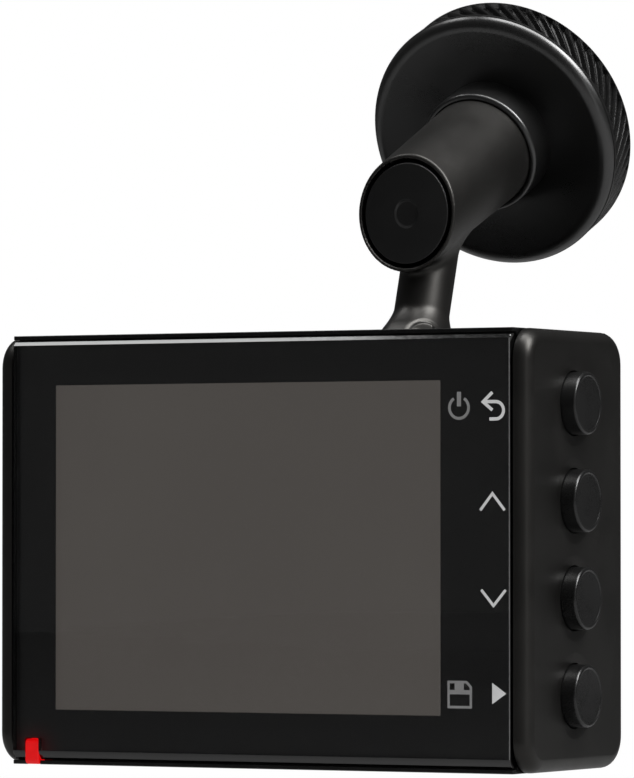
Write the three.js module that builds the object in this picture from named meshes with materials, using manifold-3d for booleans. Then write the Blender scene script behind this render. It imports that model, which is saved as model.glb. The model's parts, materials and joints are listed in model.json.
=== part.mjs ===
// A compact dash camera on a low windshield mount, built as separate pieces.
// Frame: +X is the button side, +Y looks out through the windshield, +Z is up, and the screen faces -Y.
// The origin is the centre of the camera's flat underside. All sizes are in millimetres.

import * as THREE from "three";
import { mergeVertices } from "three/addons/utils/BufferGeometryUtils.js";
import Module from "manifold-3d";

const wasm = await Module();
wasm.setup();

// ---- Driving dimensions ----------------------------------------------------------------------

const GAP = 0.1; // between pieces that rest on each other
const BODY = { width: 56.2, depth: 20.6, height: 40.5, wall: 1.4, round: 0.9, innerRound: 1.2 };
const CAP = { thickness: 1.65, seam: 0.1, cornerRound: 3, edgeRound: 0.8 };
const LIP = { length: 1.4, wall: 1, play: 0.15, rear: -8.7 }; // what an end cap puts inside the shell
const WINDOW = { thickness: 1.05, edge: 0.375 };
const SCREEN = { width: 40.8, height: 30.6, x: -1.7, z: 20.48 };
const LENS = { x: 9, z: 20.25, reach: 11.2, hole: 9.2 };
const BUTTON = { radius: 2.9, proud: 1.45, pitch: 8.95, y: -0.53, z: 20.32, clearance: 0.12, flange: 3.6 };
const LIGHT = { x: -24.15, width: 1.35, height: 2.4 };
const CARD = { length: 15, width: 11, thickness: 0.8, z: 14.5, y: -3.5, outer: -27 };
const USB = { z: 28, y: -3.2, width: 7.6, thickness: 2.6, mouth: -27.3, length: 5.3, metal: 0.4 };
const PIVOT = { x: 11.85, y: -1, z: 37.3, drum: 5, halfWidth: 2.75, clearance: 0.3, pin: 1 };
const STEM = { radius: 2.6, length: 14.5, lean: 17.9 };
const TUBE = { rearRadius: 5.03, frontRadius: 5.375, length: 19.7, plug: 4.35, spigot: 4.6, chamber: 3.9 };
const DISC = { radius: 12.57, rim: -0.7, thickness: 4.1, y: 15.23, z: 59.34, elevation: 23.5 };
const SWIVEL = { hole: 1.4, screw: 1.2 };

const REAR = -BODY.depth / 2;
const FRONT = BODY.depth / 2;
const INNER_FRONT = FRONT - BODY.wall;
const INNER_TOP = BODY.height - BODY.wall;
const SHELL_HALF = BODY.width / 2 - CAP.thickness - CAP.seam;
const WINDOW_BACK = REAR + WINDOW.thickness;
const LEDGE = WINDOW_BACK + 0.3; // the shell's step that the window's gasket sits on
const BOARD = { rear: -5.6, front: -4.6, left: -24.6, right: 20, bottom: 3, top: 33 };
const BOARD_SCREWS = [
  { x: -21.5, z: 5.2 },
  { x: 18.2, z: 5.2 },
  { x: -2, z: 31.2 },
];
const BRACKET_SCREWS = [-1, 1].map((side) => ({ x: PIVOT.x + side * 6, y: PIVOT.y, z: 0 }));
const PILOT = 0.85; // radius of the hole a thread-forming screw goes into
const SPEAKER = { x: -14.5, z: 15.5, width: 13, height: 15, rear: 4 };
const MICROPHONE = { x: 13.2, z: 5, width: 3.4, height: 2.8, front: -3.4 };
const SWITCH = { board: 21.2, boardFace: 22.1, top: 23.7, plunger: 24.1, half: 2.25 };
const BUTTON_NAMES = ["button_back", "button_up", "button_down", "button_play"];
const BUTTON_HEIGHTS = BUTTON_NAMES.map((_, i) => BUTTON.z + (1.5 - i) * BUTTON.pitch);

// ---- Materials -------------------------------------------------------------------------------

const finish = (color, roughness, metalness = 0) =>
  new THREE.MeshStandardMaterial({ color, roughness, metalness });
const MATERIAL = {
  gloss: finish(0x0c0c0d, 0.15),
  satin: finish(0x232323, 0.5),
  soft: finish(0x151515, 0.7),
  glass: finish(0x101112, 0.05),
  screen: finish(0x4a4643, 0.4),
  clear: finish(0x20303a, 0.02),
  red: finish(0xd01113, 0.3),
  board: finish(0x14402a, 0.6),
  chip: finish(0x1a1a1c, 0.5),
  tin: finish(0xb8bbbd, 0.35, 1),
  steel: finish(0x8d9093, 0.3, 1),
  brass: finish(0xb08d45, 0.35, 1),
  foil: finish(0x9aa3ad, 0.5, 0.6),
  amber: finish(0x8a5a1c, 0.5),
};

// ---- Shape helpers ---------------------------------------------------------------------------

// A geometry as a solid that can be cut and joined.
function toSolid(geometry) {
  const bare = geometry.index ? geometry.toNonIndexed() : geometry.clone();
  bare.deleteAttribute("normal");
  bare.deleteAttribute("uv");
  const merged = mergeVertices(bare, 1e-4);
  const vertProperties = merged.attributes.position.array;
  const triVerts = new Uint32Array(merged.index.array);
  return new wasm.Manifold(new wasm.Mesh({ numProp: 3, vertProperties, triVerts }));
}

function toGeometry(solid) {
  const mesh = solid.getMesh();
  const geometry = new THREE.BufferGeometry();
  geometry.setAttribute("position", new THREE.BufferAttribute(mesh.vertProperties, 3));
  geometry.setIndex(new THREE.BufferAttribute(mesh.triVerts, 1));
  return geometry;
}

const cut = (body, ...tools) =>
  toGeometry(tools.reduce((solid, tool) => solid.subtract(toSolid(tool)), toSolid(body)));
const join = (...bodies) =>
  toGeometry(bodies.slice(1).reduce((solid, body) => solid.add(toSolid(body)), toSolid(bodies[0])));

// A box between two limits on each axis.
function block([x0, x1], [y0, y1], [z0, z1]) {
  const box = new THREE.BoxGeometry(x1 - x0, y1 - y0, z1 - z0);
  return box.translate((x0 + x1) / 2, (y0 + y1) / 2, (z0 + z1) / 2);
}

const span = (centre, half) => [centre - half, centre + half];

// The turn that brings a piece made along +Y to run along another axis.
const ALONG = {
  x: new THREE.Matrix4().makeRotationZ(-Math.PI / 2),
  y: new THREE.Matrix4(),
  z: new THREE.Matrix4().makeRotationX(Math.PI / 2),
};

// A solid of revolution from [radius, distance along the axis] pairs that rise along the axis.
function turned(axis, profile, centre = {}, segments = 24) {
  const points = profile.map(([radius, along]) => new THREE.Vector2(radius, along));
  const geometry = new THREE.LatheGeometry(points, segments).applyMatrix4(ALONG[axis]);
  return geometry.translate(centre.x ?? 0, centre.y ?? 0, centre.z ?? 0);
}

const rod = (axis, [start, end], radius, centre, segments) =>
  turned(axis, [[0, start], [radius, start], [radius, end], [0, end]], centre, segments);

function ring(axis, [start, end], inner, outer, centre, segments) {
  const profile = [[inner, start], [outer, start], [outer, end], [inner, end], [inner, start]];
  return turned(axis, profile, centre, segments);
}

// An outline in the plane of the other two axes, drawn out along one axis.
function extruded(shape, axis, [start, end], options = {}) {
  const bevel = options.bevelSize ?? 0;
  const depth = end - start - 2 * bevel;
  const settings = { depth, bevelEnabled: bevel > 0, bevelThickness: bevel, curveSegments: 4, ...options };
  const geometry = new THREE.ExtrudeGeometry(shape, settings).translate(0, 0, bevel);
  if (axis === "x") {
    const cyclic = new THREE.Matrix4().makeBasis(
      new THREE.Vector3(0, 1, 0),
      new THREE.Vector3(0, 0, 1),
      new THREE.Vector3(1, 0, 0),
    );
    return geometry.applyMatrix4(cyclic).translate(start, 0, 0);
  }
  return geometry.applyMatrix4(new THREE.Matrix4().makeRotationX(Math.PI / 2)).translate(0, end, 0);
}

// A rectangle between two limits on each axis, with its corners rounded.
function roundedRectangle([x0, x1], [y0, y1], leftRound, rightRound = leftRound) {
  const quarter = Math.PI / 2;
  return new THREE.Shape()
    .absarc(x1 - rightRound, y0 + rightRound, rightRound, -quarter, 0)
    .absarc(x1 - rightRound, y1 - rightRound, rightRound, 0, quarter)
    .absarc(x0 + leftRound, y1 - leftRound, leftRound, quarter, 2 * quarter)
    .absarc(x0 + leftRound, y0 + leftRound, leftRound, 2 * quarter, 3 * quarter)
    .closePath();
}

// The camera's side outline (Y across, Z up), drawn in by an inset.
const sideOutline = (round, inset = 0) =>
  roundedRectangle([REAR + inset, FRONT - inset], [inset, BODY.height - inset], round - inset);

function part(name, geometry, material) {
  const mesh = new THREE.Mesh(geometry, MATERIAL[material].clone());
  mesh.name = name;
  return mesh;
}

// ---- Case ------------------------------------------------------------------------------------

// The foot drum's shape, or the pocket it turns in: a short barrel across the camera, at the pivot.
function footBarrel(radius, halfWidth) {
  const round = 1.2;
  const corner = [0, 1, 2].map((i) => {
    const angle = (i / 2) * (Math.PI / 2);
    return [radius - round + round * Math.sin(angle), round - round * Math.cos(angle)];
  });
  const near = corner.map(([r, inward]) => [r, -halfWidth + inward]);
  const far = [...corner].reverse().map(([r, inward]) => [r, halfWidth - inward]);
  return turned("x", [[0, -halfWidth], ...near, ...far, [0, halfWidth]], PIVOT, 32);
}

// The opening in the top of the shell: it lets the drum turn and the stem swing over its range.
function footOpening() {
  const { x, y, drum, halfWidth, clearance } = PIVOT;
  const sides = span(x, halfWidth + clearance);
  const swing = block(sides, [y, y + drum - clearance], [INNER_TOP - 1, BODY.height + 1]);
  return join(footBarrel(drum + clearance, halfWidth + clearance), swing);
}

// The wrap-round case: open at both ends and at the rear, where the window closes it.
function mainShell() {
  const outer = extruded(sideOutline(BODY.round), "x", span(0, SHELL_HALF));
  const through = span(0, SHELL_HALF + 1);
  const frontWall = [INNER_FRONT - 1, FRONT + 1];
  const inside = [BODY.wall, INNER_TOP];
  const cavity = roundedRectangle([REAR - 5, INNER_FRONT], inside, 0.2, BODY.innerRound);
  const seatHalf = BODY.height / 2 - WINDOW.edge;
  const windowSeat = block(through, [REAR - 1, LEDGE], span(BODY.height / 2, seatHalf));
  const hollow = cut(
    outer,
    extruded(cavity, "x", through),
    windowSeat,
    rod("y", frontWall, LENS.hole, LENS, 32),
    block(span(LIGHT.x, LIGHT.width / 2 + GAP), [REAR - 1, LEDGE], [-1, BODY.wall]),
  );
  const bossLength = [BOARD.front + GAP, INNER_FRONT + 0.3];
  const bosses = BOARD_SCREWS.map((place) => rod("y", bossLength, 1.6, place, 16));
  const boardPilots = BOARD_SCREWS.map((place) => rod("y", [BOARD.front, 4], PILOT, place, 12));
  const bracketPilots = BRACKET_SCREWS.map((place) =>
    rod("z", [INNER_TOP - 1, BODY.height - 0.45], PILOT, place, 12));
  return cut(
    join(hollow, ...bosses),
    ...boardPilots,
    ...bracketPilots,
    rod("y", frontWall, 0.6, MICROPHONE, 12),
    ...speakerSlots(frontWall),
    footOpening(),
  );
}

// Five slots in the front wall, in front of the speaker.
function speakerSlots(depth) {
  const slot = { width: 8, height: 1, pitch: 2 };
  return [-2, -1, 0, 1, 2].map((i) => {
    const middle = SPEAKER.z + i * slot.pitch;
    return block(span(SPEAKER.x, slot.width / 2), depth, span(middle, slot.height / 2));
  });
}

// The end cap on the button side, without its bores: a plate with rounded edges, and a lip.
function endCap() {
  const inner = SHELL_HALF + CAP.seam;
  const round = CAP.edgeRound;
  const domed = { bevelSize: round, bevelSegments: 3 };
  const blank = extruded(sideOutline(CAP.cornerRound, round), "x", [inner - round, BODY.width / 2], domed);
  const plate = cut(blank, block([0, inner], span(0, 50), span(0, 100)));
  const edge = BODY.wall + LIP.play;
  const lipLimits = [[LIP.rear, FRONT - edge], [edge, BODY.height - edge]];
  const hollowLimits = lipLimits.map(([low, high]) => [low + LIP.wall, high - LIP.wall]);
  const lip = cut(
    extruded(roundedRectangle(...lipLimits, 0.4, 1), "x", [inner - LIP.length, inner + 0.3]),
    extruded(roundedRectangle(...hollowLimits, 0.4), "x", [inner - LIP.length - 1, inner]),
  );
  return join(plate, lip);
}

// The button side: four bores, each with a shallow relief round it.
function rightEndCap() {
  const outside = BODY.width / 2;
  const relief = { radius: BUTTON.radius + 0.5, depth: 0.15 };
  const holes = (radius, start) =>
    BUTTON_HEIGHTS.map((z) => rod("x", [start, outside + 5], radius, { y: BUTTON.y, z }));
  const bores = holes(BUTTON.radius + BUTTON.clearance, 0);
  return cut(endCap(), ...bores, ...holes(relief.radius, outside - relief.depth));
}

// The port side: a card slot and a power socket opening.
function leftEndCap() {
  const through = [-BODY.width / 2 - 5, -SHELL_HALF + 5];
  const slot = block(through, span(CARD.y, 0.6), span(CARD.z, CARD.width / 2 + 0.2));
  const port = block(through, span(USB.y, USB.thickness / 2 + 0.3), span(USB.z, USB.width / 2 + 0.3));
  return cut(mirroredEndCap(), slot, port);
}

// The end cap mirrored to the other side, with its faces turned back out.
function mirroredEndCap() {
  const cap = endCap().scale(-1, 1, 1);
  const index = cap.index.array;
  for (let i = 0; i < index.length; i += 3) {
    [index[i + 1], index[i + 2]] = [index[i + 2], index[i + 1]];
  }
  return cap;
}

function rearWindow() {
  const half = BODY.height / 2 - WINDOW.edge - GAP;
  const outline = roundedRectangle(span(0, SHELL_HALF - GAP), span(BODY.height / 2, half), 0.3);
  const pane = extruded(outline, "y", [REAR, WINDOW_BACK]);
  return cut(pane, block(span(LIGHT.x, LIGHT.width / 2 + GAP), span(REAR, 5), [-1, LIGHT.height + GAP]));
}

// The adhesive frame between the window and the shell's ledge, open round the screen and the light.
function windowGasket() {
  const margin = 0.5;
  const depth = span((WINDOW_BACK + LEDGE) / 2, 0.1);
  const sheet = block(span(0, 26), depth, [0.7, BODY.height - 0.7]);
  const openingX = span(SCREEN.x, SCREEN.width / 2 + margin);
  const openingZ = span(SCREEN.z, SCREEN.height / 2 + margin);
  const lightX = span(LIGHT.x, LIGHT.width / 2 + GAP);
  const opening = block(openingX, span(REAR, 5), openingZ);
  const notch = block(lightX, span(REAR, 5), [-1, LIGHT.height + 1.4]);
  return cut(sheet, opening, notch);
}

// The red light pipe: a foot that shows at the lower rear edge, and a tail that reaches the LED.
function lightPipe() {
  const width = span(LIGHT.x, LIGHT.width / 2);
  const outline = roundedRectangle([REAR, WINDOW_BACK + 0.2], [0.02, LIGHT.height], 0.4, 0.1);
  const tail = block(width, [WINDOW_BACK, -6.8], [BODY.wall + GAP, LIGHT.height + 1.2]);
  return join(extruded(outline, "x", width), tail);
}

function casePieces() {
  return [
    part("main_shell", mainShell(), "gloss"),
    part("left_end_cap", leftEndCap(), "satin"),
    part("right_end_cap", rightEndCap(), "satin"),
    part("rear_window", rearWindow(), "glass"),
    part("window_gasket", windowGasket(), "soft"),
    part("record_light_pipe", lightPipe(), "red"),
  ];
}

// ---- Buttons ---------------------------------------------------------------------------------

// A round button: a head that stands proud, a flange that keeps it in, and a nub for its switch.
function button(z) {
  const face = BODY.width / 2 + BUTTON.proud;
  const flangeFace = SHELL_HALF + CAP.seam - GAP;
  const flangeBack = flangeFace - 1.05;
  const nub = { radius: 1, end: flangeBack - 0.7 };
  const edge = 0.3;
  const profile = [
    [0, nub.end],
    [nub.radius, nub.end],
    [nub.radius, flangeBack],
    [BUTTON.flange, flangeBack],
    [BUTTON.flange, flangeFace],
    [BUTTON.radius, flangeFace],
    [BUTTON.radius, face - edge],
    [BUTTON.radius - edge, face],
    [0, face],
  ];
  return turned("x", profile, { y: BUTTON.y, z });
}

function buttonSwitch(z) {
  const base = block(
    [SWITCH.boardFace + GAP, SWITCH.top],
    span(BUTTON.y, SWITCH.half),
    span(z, SWITCH.half),
  );
  return join(base, rod("x", [SWITCH.top - 0.2, SWITCH.plunger], 0.9, { y: BUTTON.y, z }, 16));
}

function buttonPieces() {
  const board = block([SWITCH.board, SWITCH.boardFace], span(0, 6.3), [3, 37.5]);
  return [
    ...BUTTON_NAMES.map((name, i) => part(name, button(BUTTON_HEIGHTS[i]), "satin")),
    ...BUTTON_HEIGHTS.map((z, i) => part(`switch_${i + 1}`, buttonSwitch(z), "chip")),
    part("button_board", board, "board"),
  ];
}

// ---- Screen and electronics ------------------------------------------------------------------

// The display's ribbon: a U that leaves the panel's lower edge and comes up on the board's front.
function displayRibbon() {
  const bend = { y: -6.2, z: 3.6, radius: 1.9, half: 0.07 };
  const tops = { panel: 4.1, board: 6.5 };
  const outer = bend.radius + bend.half;
  const inner = bend.radius - bend.half;
  const shape = new THREE.Shape()
    .moveTo(bend.y - outer, tops.panel)
    .absarc(bend.y, bend.z, outer, Math.PI, 2 * Math.PI)
    .lineTo(bend.y + outer, tops.board)
    .lineTo(bend.y + inner, tops.board)
    .absarc(bend.y, bend.z, inner, 2 * Math.PI, Math.PI, true)
    .lineTo(bend.y - inner, tops.panel);
  return extruded(shape, "x", [-8, 6]);
}

// A card socket: a box that is open towards the left end cap.
function cardSocket() {
  const socket = { left: -24.5, right: -10.5, front: -2.4, metal: 0.7 };
  const box = block(
    [socket.left, socket.right],
    [BOARD.front + GAP, socket.front],
    span(CARD.z, CARD.width / 2 + GAP + socket.metal),
  );
  const room = CARD.thickness / 2 + 0.15;
  const cavity = block(
    [socket.left - 1, socket.right - socket.metal],
    span(CARD.y, room),
    span(CARD.z, CARD.width / 2 + GAP),
  );
  return cut(box, cavity);
}

function memoryCard() {
  const { outer, length } = CARD;
  const outline = roundedRectangle([outer, outer + length], span(CARD.z, CARD.width / 2), 0.6);
  return extruded(outline, "y", span(CARD.y, CARD.thickness / 2), { curveSegments: 2 });
}

// A power socket: a metal sleeve, open towards the left end cap, with a contact tongue inside.
function usbSocket() {
  const { mouth, length, metal } = USB;
  const sleeve = (start, end, inset) =>
    block(
      [start, end],
      span(USB.y, USB.thickness / 2 - inset),
      span(USB.z, USB.width / 2 - inset),
    );
  const end = mouth + length;
  const tongue = block([mouth + 1, end - metal], span(USB.y, 0.35), span(USB.z, 2.6));
  return join(cut(sleeve(mouth, end, 0), sleeve(mouth - 1, end - 2 * metal, metal)), tongue);
}

function mainBoard() {
  const sheet = block([BOARD.left, BOARD.right], [BOARD.rear, BOARD.front], [BOARD.bottom, BOARD.top]);
  return cut(sheet, ...BOARD_SCREWS.map((place) => rod("y", span(BOARD.rear, 3), 1, place, 12)));
}

// A screw from [radius, distance] of its head's two faces and its shank's end, head first.
function screw(axis, head, shank, place) {
  const profile = [
    [0, head.start],
    [head.radius, head.start],
    [head.radius, head.end],
    [shank.radius, head.end],
    [shank.radius, shank.end],
    [0, shank.end + shank.point],
  ];
  return turned(axis, profile, place, 16);
}

const boardScrew = (place) =>
  screw(
    "y",
    { start: BOARD.rear - 0.85, end: BOARD.rear - GAP, radius: 1.4 },
    { end: 0, radius: 0.75, point: 0.6 },
    place,
  );

function electronics() {
  const screenX = span(SCREEN.x, SCREEN.width / 2 + 2.2);
  const screenZ = span(SCREEN.z, SCREEN.height / 2 + 1);
  const onBoard = BOARD.front + GAP;
  const microphone = block(
    span(MICROPHONE.x, MICROPHONE.width / 2),
    [onBoard, MICROPHONE.front],
    span(MICROPHONE.z, MICROPHONE.height / 2),
  );
  const speaker = block(
    span(SPEAKER.x, SPEAKER.width / 2),
    [SPEAKER.rear, INNER_FRONT - GAP],
    span(SPEAKER.z, SPEAKER.height / 2),
  );
  const led = block(span(LIGHT.x, 0.8), [BOARD.rear - 1, BOARD.rear - GAP], [3.1, 4]);
  return [
    part("display_panel", block(screenX, [-8.85, -7.3], screenZ), "screen"),
    part("display_back_plate", block(screenX, [-7.2, -6.9], screenZ), "tin"),
    part("display_ribbon", displayRibbon(), "amber"),
    part("main_board", mainBoard(), "board"),
    part("processor_shield", block([-2, 12], [onBoard, -3.4], [13, 28]), "tin"),
    part("card_socket", cardSocket(), "tin"),
    part("memory_card", memoryCard(), "chip"),
    part("usb_socket", usbSocket(), "tin"),
    part("microphone", microphone, "tin"),
    part("record_led", led, "clear"),
    part("battery", block([-23.2, -4.5], [-1.9, 2.9], [8, 34]), "foil"),
    part("speaker", speaker, "chip"),
    ...BOARD_SCREWS.map((place, i) => part(`board_screw_${i + 1}`, boardScrew(place), "steel")),
  ];
}

// ---- Lens ------------------------------------------------------------------------------------

const SENSOR_BOARD = { rear: -2.2, front: -1.4, half: 8.5 };
const SENSOR = { front: -0.3, halfWidth: 4.2, halfHeight: 3.6 };
const HOLDER = { half: 8, plateFront: 1.5, front: 7.8, bore: 6.15 };
const BARREL = { bore: 4.4, inner: 6, outer: 7.2, step: 8.2, rear: 0.4, front: 18.6, seat: 14.5 };
const LENS_SCREWS = [-6.6, 6.6].map((offset) => ({ x: LENS.x + offset, z: LENS.z + offset }));

// The block that holds the lens over the image sensor.
function lensHolder() {
  const { half, plateFront, front, bore } = HOLDER;
  const behind = SENSOR_BOARD.front - 1.6;
  const plate = block(
    span(LENS.x, half),
    [SENSOR_BOARD.front + GAP, plateFront],
    span(LENS.z, half),
  );
  const tower = rod("y", [plateFront - GAP, front], half, LENS);
  const sensorRoom = block(
    span(LENS.x, SENSOR.halfWidth + 0.6),
    [behind, SENSOR.front + 0.5],
    span(LENS.z, SENSOR.halfHeight + 0.6),
  );
  const pilots = LENS_SCREWS.map((place) => rod("y", [behind, 1], 0.7, place, 12));
  return cut(join(plate, tower), sensorRoom, rod("y", [behind, front + 1], bore, LENS), ...pilots);
}

function lensBarrel() {
  const { bore, inner, outer, step, rear, front, seat } = BARREL;
  const profile = [
    [bore, rear],
    [inner, rear],
    [inner, step],
    [outer, step],
    [outer, front],
    [outer - 0.8, front],
    [outer - 0.8, seat],
    [bore, seat],
    [bore, rear],
  ];
  return turned("y", profile, LENS);
}

// A round glass element whose two faces bulge by the given heights at the centre.
function lensElement([start, end], radius, rearBulge, frontBulge) {
  const steps = [0, 1, 2, 3, 4].map((i) => i / 4);
  const bulge = (height, t) => height * (1 - t * t);
  const rear = steps.map((t) => [radius * t, start - bulge(rearBulge, t)]);
  const front = steps.map((t) => [radius * t, end + bulge(frontBulge, t)]).reverse();
  return turned("y", [...rear, ...front], LENS);
}

// The outer barrel on the front of the camera, with a spigot that goes through the wall.
function lensShroud() {
  const end = FRONT + LENS.reach;
  const spigot = { bore: 8.3, radius: LENS.hole - 0.2, rear: 8 };
  const floor = { bore: 7.6, rear: 11, front: end - 2.7 };
  const profile = [
    [spigot.bore, spigot.rear],
    [spigot.radius, spigot.rear],
    [spigot.radius, FRONT + GAP],
    [10.7, FRONT + GAP],
    [10.5, FRONT + 3],
    [10.2, end - 0.6],
    [9.6, end],
    [spigot.radius, end],
    [spigot.radius, floor.front],
    [floor.bore, floor.front],
    [floor.bore, floor.rear],
    [spigot.bore, floor.rear],
    [spigot.bore, spigot.rear],
  ];
  return turned("y", profile, LENS, 36);
}

// The slanted ring between the barrel's mouth and the front lens.
function lensBezel() {
  const front = FRONT + LENS.reach - 0.3;
  const rear = front - 1.9;
  const radius = { inner: 6.9, edge: 8.4, outer: 8.85 };
  const profile = [
    [radius.inner, rear],
    [radius.outer, rear],
    [radius.outer, front],
    [radius.edge, front],
    [radius.inner, rear],
  ];
  return turned("y", profile, LENS, 36);
}

const lensScrew = (place) =>
  screw(
    "y",
    { start: SENSOR_BOARD.rear - 1, end: SENSOR_BOARD.rear - 0.15, radius: 1.2 },
    { end: 0.5, radius: 0.6, point: 0.4 },
    place,
  );

function lensPieces() {
  const { rear, front, half } = SENSOR_BOARD;
  const holes = LENS_SCREWS.map((place) => rod("y", span(rear, 2), 0.75, place, 12));
  const board = block(span(LENS.x, half), [rear, front], span(LENS.z, half));
  const sensor = block(
    span(LENS.x, SENSOR.halfWidth),
    [front + GAP, SENSOR.front],
    span(LENS.z, SENSOR.halfHeight),
  );
  return [
    part("sensor_board", cut(board, ...holes), "board"),
    part("image_sensor", sensor, "chip"),
    part("lens_holder", lensHolder(), "soft"),
    part("lens_barrel", lensBarrel(), "satin"),
    part("rear_lens", lensElement([3.4, 4.6], 4.3, 0.7, 0.8), "clear"),
    part("middle_lens", lensElement([8.4, 9.6], 4.3, 0.5, 0.9), "clear"),
    part("front_lens", lensElement([14.6, 15.4], 6.3, 0, 2.3), "clear"),
    part("lens_shroud", lensShroud(), "satin"),
    part("lens_bezel", lensBezel(), "soft"),
    ...LENS_SCREWS.map((place, i) => part(`lens_screw_${i + 1}`, lensScrew(place), "steel")),
  ];
}

// ---- Tilt hinge inside the top of the camera ---------------------------------------------------

const EAR = { inner: PIVOT.halfWidth + PIVOT.clearance + 0.4, thickness: 0.8, half: 2.4, below: 2.2 };
const BRACKET = { top: INNER_TOP - GAP, thickness: 0.8, half: 7.6, rear: 3, front: 7.6, bridge: 1.9 };
const PIN_BORE = PIVOT.pin + 0.06;

// A pressed steel bracket: a U-shaped plate under the top wall, with two ears that hold the pin.
function tiltBracket() {
  const { x, y, z } = PIVOT;
  const { top, thickness, half, rear, front, bridge } = BRACKET;
  const plate = block(span(x, half), [y - rear, y + front], [top - thickness, top]);
  const opening = block(span(x, EAR.inner), [y - 9, y + front - bridge], span(top, 3));
  const ears = [-1, 1].map((side) => {
    const middle = x + side * (EAR.inner + EAR.thickness / 2);
    return block(span(middle, EAR.thickness / 2), span(y, EAR.half), [z - EAR.below, top]);
  });
  const screwHoles = BRACKET_SCREWS.map((place) => rod("z", span(top, 3), 0.95, place, 12));
  const pinHole = rod("x", span(0, 9), PIN_BORE, PIVOT, 20);
  return cut(join(cut(plate, opening), ...ears), ...screwHoles, pinHole);
}

function bracketScrew(place) {
  const seat = BRACKET.top - BRACKET.thickness - 0.05;
  return screw(
    "z",
    { start: seat - 0.85, end: seat, radius: 1.3 },
    { end: BRACKET.top + 0.4, radius: 0.7, point: 0.4 },
    place,
  );
}

function tiltPieces() {
  const start = PIVOT.halfWidth + 0.06;
  const thickness = 0.5;
  const washer = (from) => ring("x", [from, from + thickness], PIN_BORE, 1.7, PIVOT, 20);
  const pinHalf = EAR.inner + EAR.thickness + 0.3;
  return [
    part("tilt_bracket", tiltBracket(), "steel"),
    part("tilt_pin", rod("x", span(0, pinHalf), PIVOT.pin, PIVOT, 20), "steel"),
    part("tilt_washer_left", washer(-start - thickness), "brass"),
    part("tilt_washer_right", washer(start), "brass"),
    ...BRACKET_SCREWS.map((place, i) => part(`bracket_screw_${i + 1}`, bracketScrew(place), "steel")),
  ];
}

// ---- Mount arm and windshield disc --------------------------------------------------------------

const ELEVATION = THREE.MathUtils.degToRad(DISC.elevation);
// From the disc's own frame (its near face at the origin, its axis along +Y) to the object's frame.
const DISC_FRAME = new THREE.Matrix4()
  .makeTranslation(PIVOT.x, DISC.y, DISC.z)
  .multiply(new THREE.Matrix4().makeRotationX(ELEVATION));
const TUBE_REAR = -TUBE.length;
const RING_SEAT = 11.2; // radius of the disc's hub, which carries the grip ring
const RING = { start: 0.35, crest: DISC.radius - 0.02 };

// A rod along the tube's axis, from the tube's upright rear face to a given distance in front of it.
function uprightRod(radius, length) {
  const geometry = rod("y", [TUBE_REAR, TUBE_REAR + length], radius, {}, 32);
  return cutUpright(geometry).applyMatrix4(DISC_FRAME);
}

// Moves the rear end of a tube so that it is cut upright instead of square to its axis.
function cutUpright(geometry) {
  const position = geometry.getAttribute("position");
  for (let i = 0; i < position.count; i += 1) {
    if (Math.abs(position.getY(i) - TUBE_REAR) < 0.01) {
      position.setY(i, TUBE_REAR + position.getZ(i) * Math.tan(ELEVATION));
    }
  }
  return geometry;
}

// The elbow's tube, with a short spigot at its front that turns inside the disc's collar.
function armTube() {
  const spigotEnd = 1.1;
  const profile = [
    [0, TUBE_REAR],
    [TUBE.rearRadius, TUBE_REAR],
    [TUBE.frontRadius, -1],
    [TUBE.frontRadius, -0.2],
    [TUBE.spigot, 0.2],
    [TUBE.spigot, spigotEnd],
    [0, spigotEnd],
  ];
  return cutUpright(turned("y", profile, {}, 32)).applyMatrix4(DISC_FRAME);
}

// The drum at the foot, trimmed below and behind where it would meet the case, with a round boss.
function armFoot() {
  const { y, z, drum, halfWidth } = PIVOT;
  const trimRear = block([0, 30], [y - 20, y - 4.35], [z - 9, z + 2.5]);
  const trimBelow = block([0, 30], span(y, 9), [z - 9, z - 0.6]);
  const boss = rod("x", span(0, halfWidth), 2.2, PIVOT, 24);
  return join(cut(footBarrel(drum, halfWidth), trimRear, trimBelow), boss);
}

// The elbow: a tube along the disc's axis, a stem that leans forward, and the drum at its foot.
function mountArm() {
  const lean = THREE.MathUtils.degToRad(STEM.lean);
  const stem = new THREE.CylinderGeometry(STEM.radius, STEM.radius, STEM.length, 24)
    .translate(0, STEM.length / 2, 0)
    .applyMatrix4(new THREE.Matrix4().makeRotationX(Math.PI / 2 - lean))
    .translate(PIVOT.x, PIVOT.y - 0.3, PIVOT.z);
  const seat = uprightRod(TUBE.plug + 0.25, 3).translate(0, -0.01, 0);
  const chamber = rod("y", [TUBE_REAR + 2, -3.5], TUBE.chamber).applyMatrix4(DISC_FRAME);
  const screwHole = rod("y", [-5, 3], SWIVEL.hole, {}, 20).applyMatrix4(DISC_FRAME);
  const pinHole = rod("x", span(0, 9), PIN_BORE, PIVOT, 20);
  return cut(join(armTube(), stem, armFoot()), seat, chamber, screwHole, pinHole);
}

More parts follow.
